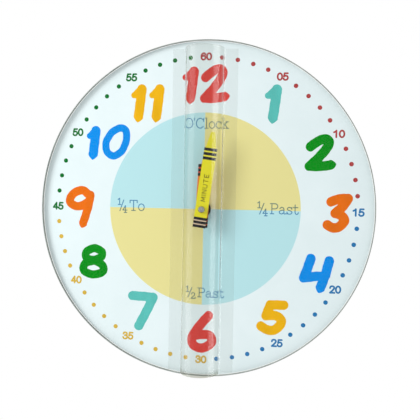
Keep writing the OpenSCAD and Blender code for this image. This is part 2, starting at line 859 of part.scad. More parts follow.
// Second wheel, one turn a minute, with its pinion in the third wheel's layer
module second_wheel() {
    color("ivory") upright() translate(second_pos) rotate(second_turn) {
        layer_wheel(second_n, train_m, z_second);
        layer_pinion(second_pinion_n, train_m, z_third);
        train_arbor();
    }
}

// Step wheel between the rotor and the second wheel
module step_wheel() {
    color("ivory") upright() translate(step_pos) rotate(step_turn) {
        layer_wheel(step_n, train_m, z_third);
        layer_pinion(step_pinion_n, train_m, z_second);
        train_arbor();
    }
}

// Rotor pinion and its arbor
module rotor_pinion() {
    color("white") upright() translate(rotor_pos) rotate(rotor_turn) {
        layer_pinion(rotor_n, train_m, z_third);
        train_arbor();
    }
}

// Ring magnet of the rotor
module rotor_magnet() {
    z0 = z_bridge_top + (magnet_room - magnet_t) / 2;
    color("darkgray") upright() translate(rotor_pos)
        ring(magnet_r, pivot_r + seat_gap, z0, z0 + magnet_t);
}

glass_dial();
dial_print();
hand_guard();
front_washer();
fixing_nut();
rubber_washer();
hanger_plate();
foam_pads();
movement_case();
pillar_plate();
centre_bush();
rear_cover();
train_bridge();
bridge_screws();
stator();
coil_core();
coil_bobbin();
coil_winding();
circuit_board();
quartz_crystal();
clock_chip();
contact_positive();
contact_negative();
battery_cell();
minute_arbor();
clutch_spring();
minute_hand();
cap_nut();
hour_wheel();
hour_collet();
hour_hand();
minute_wheel();
setting_arbor();
setting_knob();
centre_wheel();
third_wheel();
second_wheel();
step_wheel();
rotor_pinion();
rotor_magnet();
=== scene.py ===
import bmesh
import bpy
import numpy as np
from mathutils import Matrix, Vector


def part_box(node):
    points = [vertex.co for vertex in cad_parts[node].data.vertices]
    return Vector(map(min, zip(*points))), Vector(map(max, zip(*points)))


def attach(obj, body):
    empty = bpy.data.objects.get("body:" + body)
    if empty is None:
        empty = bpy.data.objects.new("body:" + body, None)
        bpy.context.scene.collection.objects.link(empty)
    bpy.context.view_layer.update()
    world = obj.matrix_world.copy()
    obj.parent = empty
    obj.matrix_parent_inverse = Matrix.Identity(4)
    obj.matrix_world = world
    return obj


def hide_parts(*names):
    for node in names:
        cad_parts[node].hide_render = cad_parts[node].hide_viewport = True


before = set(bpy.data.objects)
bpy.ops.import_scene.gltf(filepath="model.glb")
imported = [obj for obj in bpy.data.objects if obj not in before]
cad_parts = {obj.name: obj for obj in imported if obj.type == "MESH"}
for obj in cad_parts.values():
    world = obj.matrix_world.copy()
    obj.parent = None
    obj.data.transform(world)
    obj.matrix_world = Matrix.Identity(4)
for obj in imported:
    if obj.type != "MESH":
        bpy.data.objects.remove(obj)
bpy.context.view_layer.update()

# Movement case, rear cover and setting knob: the black box on the back that holds the works and the cell.
# Injection-moulded plastic with a fine spark-eroded texture; the cover snaps in, the knob is pressed on.
def paint(red, green, blue):
    """Colour written as on a colour card, 0 to 255, as linear values by the sRGB curve, with full alpha."""
    card = np.array([red, green, blue]) / 255
    linear = np.where(card > 0.04045, ((card + 0.055) / 1.055) ** 2.4, card / 12.92)
    return (*linear.tolist(), 1.0)


def preset(node, values):
    """Sets inputs of a node by label, and returns the node."""
    for label, value in values.items():
        node.inputs[label].default_value = value
    return node


def grain_group():
    """Two noises over stretched Object coordinates: a fine one for grain and a broad one for patches."""
    tree = bpy.data.node_groups.new("surface_grain", "ShaderNodeTree")
    for label, way, kind in (("Fine", "INPUT", "NodeSocketFloat"), ("Broad", "INPUT", "NodeSocketFloat"),
                             ("Stretch", "INPUT", "NodeSocketVector"), ("Grain", "OUTPUT", "NodeSocketFloat"),
                             ("Patch", "OUTPUT", "NodeSocketFloat")):
        tree.interface.new_socket(name=label, in_out=way, socket_type=kind)
    nodes, links = tree.nodes, tree.links
    entry, leave = nodes.new("NodeGroupInput"), nodes.new("NodeGroupOutput")
    place, stretch = nodes.new("ShaderNodeTexCoord"), nodes.new("ShaderNodeVectorMath")
    stretch.operation = "MULTIPLY"
    links.new(place.outputs["Object"], stretch.inputs[0])
    links.new(entry.outputs["Stretch"], stretch.inputs[1])
    for scale, result, detail in (("Fine", "Grain", 2.0), ("Broad", "Patch", 4.0)):
        noise, spread = nodes.new("ShaderNodeTexNoise"), nodes.new("ShaderNodeMapRange")
        preset(noise, {"Detail": detail})
        preset(spread, {"From Min": noise_low, "From Max": noise_high})
        links.new(stretch.outputs[0], noise.inputs["Vector"])
        links.new(entry.outputs[scale], noise.inputs["Scale"])
        links.new(noise.outputs["Fac"], spread.inputs["Value"])
        links.new(spread.outputs["Result"], leave.inputs[result])
    return tree


noise_low, noise_high = 0.3, 0.7
surface_grain = grain_group()
dent_depth = 0.0002


def placed(material, tree, **values):
    """Node of a shared group in a material, with the values of its inputs."""
    node = material.node_tree.nodes.new("ShaderNodeGroup")
    node.node_tree = tree
    return preset(node, values)


def tinted(material, share, base, tint):
    """Lays a tint over a base colour by a share from 0 to 1; each of the two is a socket or a colour."""
    mix, links = material.node_tree.nodes.new("ShaderNodeMix"), material.node_tree.links
    mix.data_type = "RGBA"
    under, over, result = mix.inputs[6], mix.inputs[7], mix.outputs[2]
    links.new(share, mix.inputs[0])
    for socket, value in ((under, base), (over, tint)):
        if isinstance(value, tuple):
            socket.default_value = value
        else:
            links.new(value, socket)
    return result


def finish(name, low, high, rough=(0.4, 0.55), fine=4000.0, broad=60.0, stretch=(1, 1, 1), dent=0.05, metal=0.0,
           gloss=0.5):
    """Finish whose colour runs from low to high by the patches, and whose roughness and dents follow the grain."""
    material = bpy.data.materials.new(name)
    material.use_nodes = True
    nodes, links = material.node_tree.nodes, material.node_tree.links
    shader = nodes["Principled BSDF"]
    preset(shader, {"Metallic": metal, "Specular IOR Level": gloss})
    grain = placed(material, surface_grain, Fine=fine, Broad=broad, Stretch=stretch)
    links.new(tinted(material, grain.outputs["Patch"], low, high), shader.inputs["Base Color"])
    span = preset(nodes.new("ShaderNodeMapRange"), {"To Min": rough[0], "To Max": rough[1]})
    links.new(grain.outputs["Grain"], span.inputs["Value"])
    links.new(span.outputs["Result"], shader.inputs["Roughness"])
    bump = preset(nodes.new("ShaderNodeBump"), {"Strength": dent, "Distance": dent_depth})
    bump.name = "Bump"
    links.new(grain.outputs["Grain"], bump.inputs["Height"])
    links.new(bump.outputs["Normal"], shader.inputs["Normal"])
    return material


def dress(material, *names):
    """Gives every slot of these CAD nodes one finish."""
    for name in names:
        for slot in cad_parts[name].material_slots:
            slot.material = material


dress(finish("case_black", paint(34, 35, 37), paint(46, 47, 49), rough=(0.42, 0.62), dent=0.35),
      "movement_case", "rear_cover", "setting_knob")

# Set mark and cell marks: an arrow round the knob, a plus and a minus, pad-printed on the rear cover.
# A thin coat of pale ink; generic marks that any such movement carries.
def stand(points):
    """Dial points in millimetres (right, up, out from the wall) as row points in metres: x, minus out, up."""
    p = np.asarray(points, float)
    return np.stack([p[..., 0], -p[..., 2], p[..., 1]], -1) / 1000


def quads(grid, closed=False):
    """Faces of a grid: each joins (i, j), (i + 1, j), (i + 1, j + 1), (i, j + 1); closed, the end rows join too."""
    rows, columns = grid.shape[:2]
    i, j = np.meshgrid(np.arange(rows - (not closed)), np.arange(columns - 1), indexing="ij")
    near, far = i * columns + j, (i + 1) % rows * columns + j
    return np.stack([near, far, far + 1, near + 1], -1).reshape(-1, 4)


def added(name, data):
    """Object of a mesh, lamp or camera, put in the scene."""
    thing = bpy.data.objects.new(name, data)
    bpy.context.scene.collection.objects.link(thing)
    return thing


def piece(name, patches, materials, body, replaced=None, sharp=35):
    """One piece from patches of (row points, faces), merged where they meet, smooth below the sharp angle.

    It has one material, or a list with one for each patch.
    """
    grids, parts = zip(*patches)
    starts = np.cumsum([0] + [grid.size // 3 for grid in grids])
    points = np.vstack([grid.reshape(-1, 3) for grid in grids])
    faces = np.vstack([part + start for part, start in zip(parts, starts)])
    mesh = bpy.data.meshes.new(name)
    mesh.from_pydata(points, [], faces.tolist())
    if isinstance(materials, list):
        mesh.polygons.foreach_set("material_index", np.repeat(np.arange(len(parts)), [len(part) for part in parts]))
    else:
        materials = [materials]
    for material in materials:
        mesh.materials.append(material)
    mesh.validate()
    weld(mesh)
    mesh.shade_smooth()
    mesh.set_sharp_from_angle(angle=np.radians(sharp))
    thing = added(name, mesh)
    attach(thing, body)
    if replaced:
        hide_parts(replaced)
    return thing


def weld(mesh, reach=1e-7):
    """Merges points closer than the reach, which closes seams and poles."""
    work = bmesh.new()
    work.from_mesh(mesh)
    bmesh.ops.remove_doubles(work, verts=work.verts, dist=reach)
    work.to_mesh(mesh)
    work.free()


def smooth(points, steps=10):
    """Curve through the points: on each span a cubic whose end slopes are half the chord between the neighbours."""
    p = np.asarray(points, float)
    if len(p) == 2:
        return p
    loop = np.allclose(p[0], p[-1])
    first = p[-2] if loop else 2 * p[0] - p[1]
    last = p[1] if loop else 2 * p[-1] - p[-2]
    q = np.vstack([first, p, last])
    a, b, c, d = q[:-3], q[1:-2], q[2:-1], q[3:]
    t = np.linspace(0, 1, steps, endpoint=False)[:, None, None]
    curve = b + t * ((c - a) / 2 + t * (a - 2.5 * b + 2 * c - d / 2 + t * ((d - a) / 2 + 1.5 * (b - c))))
    return np.vstack([curve.transpose(1, 0, 2).reshape(-1, 2), p[-1:]])


def stroke(path, width, lift, crown=0.015, count=40, nib=2.0, waver=0.0):
    """Flat ink stroke in millimetres: across the path by its half width, crowned in the middle.

    The path runs on straight for a half width past its ends, where the half width falls as a superellipse:
    power 2 is round, as at the start, and a power near 1 makes the far end pointed. Each side wavers by the sum of
    a slow and a quick sine of the way along it, as a brush does.
    """
    path = np.asarray(path, float)
    reach = np.concatenate([[0], np.cumsum(np.hypot(*np.diff(path, axis=0).T))])
    half = width / 2
    s = (reach[-1] + width) * (1 - np.cos(np.linspace(0, np.pi, count))) / 2 - half
    inner = np.clip(s, 0, reach[-1])
    over = s - inner
    centre = np.stack([np.interp(inner, reach, path[:, 0]), np.interp(inner, reach, path[:, 1])], -1)
    ends = np.where(over[:, None] < 0, path[1] - path[0], path[-1] - path[-2])
    ends = ends / np.linalg.norm(ends, axis=1, keepdims=True)
    centre = centre + over[:, None] * ends
    slope = np.gradient(centre, axis=0)
    slope = slope / np.maximum(np.linalg.norm(slope, axis=1, keepdims=True), 1e-9)
    side = np.stack([slope[:, 1], -slope[:, 0]], -1)
    power = np.where(over > 0, nib, 2.0)
    span = half * np.maximum(1 - np.abs(over / half) ** power, 0) ** (1 / power)
    v = np.array([-1, -0.55, 0, 0.55, 1])
    slow_wave, quick, quick_share, lag = 9.0, 2.3, 0.6, 0.3
    way = (s[:, None] / slow_wave + lag * v) * 2 * np.pi + width
    waves = waver * (np.sin(way) + quick_share * np.sin(quick * way)) * span[:, None] / half
    flat = centre[:, None] + side[:, None] * ((span[:, None] + waves) * v)[..., None]
    height = np.broadcast_to(lift + crown * (1 - v ** 2), flat.shape[:2])
    return np.concatenate([flat, height[..., None]], -1)


def inked(strokes):
    """Patches of row points and faces for a list of ink strokes, turned to face away from the wall."""
    return [(stand(grid), quads(grid)[:, ::-1]) for grid in strokes]


def bow(x, y, across, up, start, stop, count=9):
    """Points along an ellipse about (x, y) from one angle to another, in degrees."""
    turn = np.radians(np.linspace(start, stop, count))
    return np.stack([x + across * np.cos(turn), y + up * np.sin(turn)], -1)


knob_at, ring_r, ring_pen = np.array([15.69, 2.48]), 6.6, 0.5
sign_x, sign_y, sign_half, sign_pen = 22.0, -8.2, 1.5, 0.6
ring_path = smooth(bow(*knob_at, ring_r, ring_r, 150, 395, 24))
tip = ring_path[-1]
barbs = ((-0.9, -1.9), (1.5, -1.1))
arrow_paths = [ring_path] + [[tip, tip + barb] for barb in barbs]
sign_paths = [[(sign_x - sign_half, sign_y), (sign_x + sign_half, sign_y)],
              [(sign_x, sign_y - sign_half), (sign_x, sign_y + sign_half)],
              [(-sign_x - sign_half, sign_y), (-sign_x + sign_half, sign_y)]]
wall_z = 0.0
marks = [stroke(path, ring_pen, wall_z) for path in arrow_paths]
marks += [stroke(path, sign_pen, wall_z) for path in sign_paths]
behind = [grid * (1, 1, -1) for grid in marks]
mark_ink = finish("mark_ink", paint(176, 177, 175), paint(190, 190, 188), rough=(0.5, 0.6))
piece("cover_marks", [(stand(grid), quads(grid)) for grid in behind], mark_ink, "clock")

# Pillar plate, bridge and its screws: the frame of the works, hidden inside the case.
# Tan moulded acetal with a waxy surface; three zinc-plated screws hold the bridge on its pillars.
dress(finish("acetal_tan", paint(196, 176, 138), paint(208, 190, 154), rough=(0.38, 0.5), broad=90),
      "pillar_plate", "train_bridge", "centre_wheel")
dress(finish("zinc", paint(168, 171, 174), paint(194, 197, 200), rough=(0.26, 0.42), fine=900, broad=140,
             stretch=(1, 1, 6), dent=0.06, metal=1.0), "bridge_screws")

# Wheels, pinions and arbors of the time train and the motion works, in mesh from rotor to hour hand.
# White moulded acetal, slightly translucent, left as moulded.
dress(finish("acetal_white", paint(226, 225, 217), paint(238, 237, 231), rough=(0.34, 0.46), broad=120),
      "minute_arbor", "hour_wheel", "minute_wheel", "setting_arbor", "third_wheel", "second_wheel", "step_wheel",
      "rotor_pinion", "coil_bobbin")

# Stepping motor: stamped soft iron stator and core, sintered ring magnet, and the fine winding on the bobbin.
# The iron is bare with rolling lines; the winding is enamelled copper laid turn beside turn along the core.
dress(finish("iron", paint(112, 113, 117), paint(134, 135, 138), rough=(0.34, 0.5), fine=1200, broad=200,
             stretch=(1, 1, 8), dent=0.06, metal=1.0), "stator", "coil_core", "rotor_magnet")


def turns(material, direction, pitch, dent):
    """Adds ridges across one axis of the Object coordinates to a finish: a sine of the given pitch in metres.

    A wave node of scale 1 runs through 20 radians in a metre.
    """
    nodes, links = material.node_tree.nodes, material.node_tree.links
    place, wave = nodes.new("ShaderNodeTexCoord"), nodes.new("ShaderNodeTexWave")
    wave.wave_type = "BANDS"
    wave.bands_direction = direction
    preset(wave, {"Scale": 2 * np.pi / (20 * pitch)})
    links.new(place.outputs["Object"], wave.inputs["Vector"])
    links.new(wave.outputs["Fac"], preset(nodes["Bump"], {"Strength": dent}).inputs["Height"])


copper = finish("copper", paint(150, 78, 38), paint(178, 98, 50), rough=(0.24, 0.36), metal=0.8)
turns(copper, "X", 0.00022, 0.5)
dress(copper, "coil_winding")

# Circuit board with its quartz can and the resin drop over the chip.
# Green resin laminate with a brushed solder mask, a drawn nickel can, glossy black resin.
dress(finish("board_green", paint(38, 92, 52), paint(58, 118, 70), rough=(0.3, 0.42), fine=2500, broad=420),
      "circuit_board")
can_nickel = finish("can_nickel", paint(196, 196, 198), paint(214, 214, 215), rough=(0.14, 0.26), metal=1.0)
dress(can_nickel, "quartz_crystal")
dress(finish("resin_drop", paint(18, 18, 19), paint(27, 27, 28), rough=(0.12, 0.24), broad=200), "clock_chip")

# Battery contacts: two bent strips that press on the ends of the cell.
# Nickel-plated spring steel with rolling lines along the strip.
dress(finish("strip_nickel", paint(186, 185, 180), paint(208, 207, 203), rough=(0.2, 0.34), fine=1500,
             stretch=(1, 1, 5), metal=1.0), "contact_positive", "contact_negative")

# Battery: a plain AA cell across the bay, nub to the right, lifted out by hand.
# Steel can in a shrunk plastic sleeve that curls over both ends; the nub end is bare steel with a seal ring.
def lathe(profile, sides=64):
    """Grid of a turned piece: the profile of (radius, height) carried round the axis, which is the third value."""
    turn = np.linspace(0, 2 * np.pi, sides, endpoint=False)[:, None]
    r, h = np.asarray(profile, float).T
    return np.stack([r * np.cos(turn), r * np.sin(turn), np.broadcast_to(h, (sides, len(h)))], -1)


def turned(profile, at=(0, 0), sides=64):
    """Patch of a piece turned about an axis square to the dial, through a place of the dial."""
    grid = lathe(profile, sides) + (*at, 0)
    return stand(grid), quads(grid, closed=True)


def box_mm(node):
    """Low and high corner of a CAD node in millimetres."""
    return np.array(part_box(node)) * 1000


cell_low, cell_high = box_mm("battery_cell")
cell_axis = (cell_low + cell_high) / 2
cell_r = (cell_high[2] - cell_low[2]) / 2
nub_h = 1.2
cell_foot, cell_end, cell_top = cell_low[0], cell_high[0] - nub_h, cell_high[0]
curl_r, lip_r, well_r = 0.7, cell_r - 1.5, cell_r - 1.6
foot_in, well_in, seal_low, seal_top = 0.35, 0.6, 0.5, 0.28
nub_r, nub_round, nub_foot, foot_flare, foot_drop = 2.6, 0.3, 2.75, 0.15, 0.1
curl_count = 7
sleeve_profile = np.vstack([
    [(0, cell_foot + foot_in), (well_r, cell_foot + foot_in), (lip_r, cell_foot)],
    bow(cell_r - curl_r, cell_foot + curl_r, curl_r, curl_r, -90, 0, curl_count),
    bow(cell_r - curl_r, cell_end - curl_r, curl_r, curl_r, 0, 90, curl_count),
    [(lip_r, cell_end), (well_r, cell_end - well_in), (0, cell_end - well_in)]])
nub_profile = np.vstack([
    [(0, cell_end - seal_low), (well_r, cell_end - seal_low), (well_r, cell_end - seal_top),
     (nub_foot + foot_flare, cell_end - seal_top), (nub_foot, cell_end - foot_drop)],
    bow(nub_r - nub_round, cell_top - nub_round, nub_round, nub_round, 0, 90, curl_count),
    [(0, cell_top)]])


def along_cell(profile):
    """Patch of a piece turned about the cell's axis, which runs along X."""
    grid = lathe(profile)
    row = np.stack([grid[..., 2], cell_axis[1] + grid[..., 0], cell_axis[2] + grid[..., 1]], -1) / 1000
    return row, quads(grid, closed=True)


def sums(tree):
    """Maker of math nodes in a node tree: an operation over two sockets or numbers."""
    def work(operation, first, second=0.0):
        node = tree.nodes.new("ShaderNodeMath")
        node.operation = operation
        for socket, value in zip(node.inputs, (first, second)):
            if isinstance(value, (int, float)):
                socket.default_value = value
            else:
                tree.links.new(value, socket)
        return node.outputs[0]
    return work


def object_axes(tree):
    """X, Y and Z of the Object coordinates in metres, as sockets of a node tree."""
    place, split = tree.nodes.new("ShaderNodeTexCoord"), tree.nodes.new("ShaderNodeSeparateXYZ")
    tree.links.new(place.outputs["Object"], split.inputs[0])
    return tuple(split.outputs)


def overlay(material, share, tint):
    """Lays a tint over the colour that a material has so far, by a share from 0 to 1."""
    base = material.node_tree.nodes["Principled BSDF"].inputs["Base Color"]
    material.node_tree.links.new(tinted(material, share, base.links[0].from_socket, tint), base)


sleeve = finish("cell_sleeve", paint(70, 78, 88), paint(82, 90, 101), rough=(0.22, 0.34), fine=600, broad=80,
                stretch=(0.3, 1, 1), dent=0.08)
sleeve_x = object_axes(sleeve.node_tree)[0]
sleeve_work = sums(sleeve.node_tree)
band_in, band_half = 7.0, 4.0
from_band = sleeve_work("ABSOLUTE", sleeve_work("SUBTRACT", sleeve_x, (cell_end - band_in) / 1000))
overlay(sleeve, sleeve_work("LESS_THAN", from_band, band_half / 1000), paint(196, 199, 202))
piece("cell_sleeve", [along_cell(sleeve_profile)], sleeve, "battery", "battery_cell")
piece("cell_nub", [along_cell(nub_profile)], can_nickel, "battery")

# Hanger: a stamped steel strap clamped under the movement, joggled back to a keyhole eye for a wall screw.
# Zinc-plated sheet with fine rolling lines and a slightly cloudy passivation.
dress(finish("hanger_zinc", paint(164, 168, 170), paint(196, 198, 194), rough=(0.28, 0.46), fine=700, broad=55,
             stretch=(8, 1, 1), dent=0.08, metal=1.0), "hanger_plate")

# Centre bush: threaded stem of the movement, pressed through the case floor and through the dial.
# Turned brass; the thread is a fine V of 0.75 mm pitch.
dress(finish("brass", paint(196, 158, 84), paint(214, 178, 104), rough=(0.22, 0.34), broad=200, metal=1.0),
      "clutch_spring", "hour_collet")
brass_thread = finish("brass_thread", paint(190, 152, 80), paint(210, 174, 100), rough=(0.24, 0.38), metal=1.0)
turns(brass_thread, "Y", 0.00075, 1.0)
dress(brass_thread, "centre_bush")

# Rubber washer between the hanger and the dial: keeps the nut's pressure off the glass.
# Soft black rubber, punched from sheet, with a dusty bloom.
dress(finish("rubber", paint(30, 30, 31), paint(48, 48, 49), rough=(0.7, 0.9), fine=5000, broad=180, dent=0.3),
      "rubber_washer")

# Foam pads: two round bumpers that keep the lower half of the dial off the wall.
# Closed-cell foam, die cut, so the sides bulge a little and the rims are soft; stuck to the film.
pad_low, pad_high = box_mm("foam_pads")
pad_r = (pad_high[2] - pad_low[2]) / 2
pad_at = (pad_high[0] - pad_r, pad_low[2] + pad_r)
pad_h = -pad_low[1]
bulge, soft_rim, rim_share = 0.45, 1.4, 1 / 6
rise = np.linspace(0, 1, 17)
near_rim = np.clip(1 - (1 - np.abs(2 * rise - 1)) / rim_share, 0, 1)
round_in = soft_rim * (1 - np.sqrt(1 - near_rim ** 2))
pad_side = np.stack([pad_r - bulge - round_in + bulge * np.sin(np.pi * rise), pad_h * rise], -1)
pad_profile = np.vstack([[(0, 0)], pad_side, [(0, pad_h)]])
foam = finish("foam", paint(84, 85, 87), paint(108, 109, 111), rough=(0.8, 0.95), fine=2600, broad=300, dent=0.8)
pads = piece("foam_bumpers", [turned(pad_profile, (side * pad_at[0], pad_at[1]), 48) for side in (-1, 1)], foam,
             "clock", "foam_pads", sharp=60)

# Dial film: the printed sheet behind the glass, white with a coloured circle in four quarters.
# White polyester film, satin, printed in flat tints; its back is plain.
film_low, film_high = box_mm("dial_print")
z_front = -film_low[1]
quarter_r = 86.0


def quarter_group(radius, front):
    """Masks over the dial from Object coordinates in metres.

    Disc is 1 within the radius and in front of a depth; Warm is 1 where x times z is positive.
    """
    tree = bpy.data.node_groups.new("dial_quarters", "ShaderNodeTree")
    for label in ("Disc", "Warm"):
        tree.interface.new_socket(name=label, in_out="OUTPUT", socket_type="NodeSocketFloat")
    leave, work = tree.nodes.new("NodeGroupOutput"), sums(tree)
    x, y, z = object_axes(tree)
    square = work("ADD", work("MULTIPLY", x, x), work("MULTIPLY", z, z))
    disc = work("MULTIPLY", work("LESS_THAN", square, radius ** 2), work("LESS_THAN", y, front))
    tree.links.new(disc, leave.inputs["Disc"])
    tree.links.new(work("GREATER_THAN", work("MULTIPLY", x, z), 0.0), leave.inputs["Warm"])
    return tree


dial_quarters = quarter_group(quarter_r / 1000, (film_low[1] + film_high[1]) / 2000)
film = finish("film", paint(231, 243, 245), paint(236, 247, 249), rough=(0.45, 0.55), fine=6000, broad=30,
              dent=0.02, gloss=0.04)
cool_tint, warm_tint = paint(187, 229, 234), paint(234, 224, 152)
film_quarters = placed(film, dial_quarters)
overlay(film, film_quarters.outputs["Disc"], tinted(film, film_quarters.outputs["Warm"], cool_tint, warm_tint))
dress(film, "dial_print")

# Minute dots: 48 round dots on a ring, a colour for each quarter, with the fives left free for numbers.
# Screen-printed ink on the film, a few hundredths of a millimetre thick.
print_z = z_front + 0.015
dot_ring, dot_r, dot_h, dot_sides = 135.1, 2.0, 0.02, 20
quarter_inks = [("red", paint(178, 68, 68)), ("blue", paint(42, 120, 178)), ("gold", paint(216, 178, 68)),
                ("green", paint(14, 112, 44))]


def shade(colour, share):
    """The same colour scaled in brightness."""
    return tuple(min(1.0, value * share) for value in colour[:3]) + (1.0,)


def ink(name, colour):
    """Screen ink: one colour with small changes of density and a satin surface."""
    return finish(name, shade(colour, 0.94), shade(colour, 1.06), rough=(0.42, 0.55), fine=5000, broad=160,
                  dent=0.03, gloss=0.04)


dot = lathe([(0, dot_h), (dot_r * 0.6, dot_h), (dot_r * 0.9, dot_h * 0.6), (dot_r, 0.0)], dot_sides)
dot_faces = quads(dot, closed=True)[:, ::-1]
minute_inks = []
for quarter, (label, colour) in enumerate(quarter_inks):
    minute_inks.append(ink(f"{label}_ink", colour))
    turn = np.radians([6 * minute for minute in range(quarter * 15, quarter * 15 + 15) if minute % 5])
    centres = np.stack([dot_ring * np.sin(turn), dot_ring * np.cos(turn), np.full(turn.shape, print_z)], -1)
    dots = [(stand(dot + centre), dot_faces) for centre in centres]
    piece(f"minute_dots_{label}", dots, minute_inks[-1], "clock")

# Minute numbers: 05 to 60 in steps of five on the same ring, bold upright figures.
# The same screen ink as the dots, flat on the film.
number_ring, number_size, number_pen, figure_step = 135.5, (10.4, 7.3), 1.55, 0.82
layer_step = 0.004
figure_paths = {
    "0": [bow(0.31, 0.5, 0.31, 0.5, 90, 450, 13)],
    "1": [[(0.06, 0.74), (0.26, 0.84), (0.38, 1)], [(0.38, 1), (0.38, 0)]],
    "2": [[(0.02, 0.72), (0.1, 0.94), (0.32, 1), (0.54, 0.92), (0.58, 0.68), (0.36, 0.36), (0.02, 0)],
        [(0.02, 0), (0.62, 0)]],
    "3": [[(0.03, 0.78), (0.13, 0.96), (0.33, 1), (0.54, 0.9), (0.54, 0.66), (0.24, 0.54)],
        [(0.24, 0.54), (0.54, 0.46), (0.61, 0.24), (0.48, 0.04), (0.26, 0), (0.07, 0.07), (0, 0.24)]],
    "4": [[(0.46, 1), (0, 0.28)], [(0, 0.28), (0.64, 0.28)], [(0.46, 1), (0.46, 0)]],
    "5": [[(0.58, 1), (0.14, 1)], [(0.14, 1), (0.06, 0.5)],
        [(0.06, 0.5), (0.26, 0.62), (0.5, 0.56), (0.6, 0.32), (0.5, 0.08), (0.26, 0), (0.07, 0.07),
        (0, 0.22)]],
    "6": [[(0.58, 0.8), (0.48, 0.97), (0.28, 1), (0.08, 0.82), (0, 0.46), (0.06, 0.14), (0.28, 0),
        (0.52, 0.08), (0.6, 0.32), (0.5, 0.56), (0.28, 0.62), (0.08, 0.48), (0.01, 0.3)]],
}
figures = {sign: (figure_step, paths) for sign, paths in figure_paths.items()}


def spelled(word, shapes):
    """Strokes of a word: each sign's strokes moved along by the widths of the signs before it."""
    starts = np.cumsum([0] + [shapes[sign][0] for sign in word])
    return [np.asarray(path) + (start, 0) for sign, start in zip(word, starts) for path in shapes[sign][1]]


def fitted(strokes, centre, size, width, turn=0.0):
    """Stroke paths scaled so that their painted outline fills a box, then turned about its centre and placed."""
    paths = [smooth(path) for path in strokes]
    low, high = np.vstack(paths).min(0), np.vstack(paths).max(0)
    scale = (np.asarray(size) - width) / (high - low)
    swing = np.array([[np.cos(turn), np.sin(turn)], [-np.sin(turn), np.cos(turn)]])
    return [((path - (low + high) / 2) * scale) @ swing + centre for path in paths]


for quarter, (label, colour) in enumerate(quarter_inks):
    strokes = []
    for minute in range(quarter * 15, quarter * 15 + 15, 5):
        turn = np.radians(minute * 6)
        place = (number_ring * np.sin(turn), number_ring * np.cos(turn))
        paths = fitted(spelled(f"{minute or 60:02d}", figures), place, number_size, number_pen)
        strokes += [stroke(path, number_pen, print_z + layer_step * layer) for layer, path in enumerate(paths)]
    piece(f"minute_numbers_{label}", inked(strokes), minute_inks[quarter], "clock")

# Hour numbers: 1 to 12 in broad brush strokes, each pair of opposite numbers in one bright colour.
# Screen ink from a brush-drawn original: round starts, some pointed feet, wavering sides and faint streaks.
# A digit is a list of paths in a box of 1 by 1; each ink has its digits, with centre and size in millimetres.
digits = {
    "0": [[(0.66, 0.99), (0.28, 0.82), (0.02, 0.46), (0.1, 0.12), (0.42, 0), (0.8, 0.2), (1, 0.62),
        (0.93, 0.93), (0.66, 0.99)]],
    "1": [[(0, 0.79), (0.8, 1)], [(0, 0.79), (0.8, 0.79)], [(1, 1), (0.83, 0.55), (0.59, 0)]],
    "2": [[(0.05, 0.71), (0.34, 0.89), (0.68, 1), (0.85, 0.93), (0.84, 0.76), (0.66, 0.54), (0.36, 0.26),
        (0.02, 0)], [(0.02, 0), (0.5, 0), (1, 0.06)]],
    "3": [[(0.16, 0.88), (0.55, 0.98), (1, 1)], [(1, 1), (0.76, 0.74), (0.38, 0.49)],
        [(0.38, 0.49), (0.68, 0.42), (0.84, 0.25), (0.62, 0.05), (0.28, -0.01), (0, 0.09)]],
    "4": [[(0.3, 1), (0.2, 0.7), (0.06, 0.34)], [(0.06, 0.34), (0.46, 0.4), (0.84, 0.42)],
        [(0.96, 0.94), (0.84, 0.5), (0.66, 0)]],
    "5": [[(0.98, 0.99), (0.38, 0.98)], [(0.38, 0.98), (0.2, 0.56)],
        [(0.2, 0.56), (0.62, 0.58), (0.9, 0.38), (0.66, 0.07), (0.3, 0.02), (-0.02, 0.16)]],
    "6": [[(0.8, 1), (0.4, 0.68), (0.08, 0.34), (0.1, 0.12), (0.42, 0), (0.8, 0.08), (0.98, 0.25),
        (0.84, 0.4), (0.52, 0.42), (0.22, 0.38)]],
    "7": [[(0, 0.98), (0.5, 0.97), (1, 0.95)], [(1, 0.95), (0.68, 0.48), (0.32, 0)]],
    "8": [[(0.82, 0.88), (0.5, 1), (0.18, 0.86), (0.16, 0.62), (0.5, 0.54), (0.84, 0.38), (0.9, 0.14),
        (0.5, 0), (0.08, 0.12), (0.1, 0.4), (0.5, 0.54), (0.8, 0.68), (0.82, 0.88)]],
    "9": [[(0.92, 0.84), (0.56, 1), (0.14, 0.86), (0.06, 0.62), (0.46, 0.52), (0.9, 0.68)],
        [(0.94, 0.86), (0.84, 0.5), (0.62, 0)]],
}
round_nib, foot_nib, sharp_nib, broad_brush = 2.0, 1.4, 1.25, 8.4
brushes = {"0": (6.7, round_nib), "1": (8.8, sharp_nib), "2": (broad_brush, foot_nib), "4": (broad_brush, foot_nib),
           "8": (7.6, round_nib), "9": (7.8, foot_nib)}
flag_count, flag_share, brush_waver = 2, 0.62, 0.1
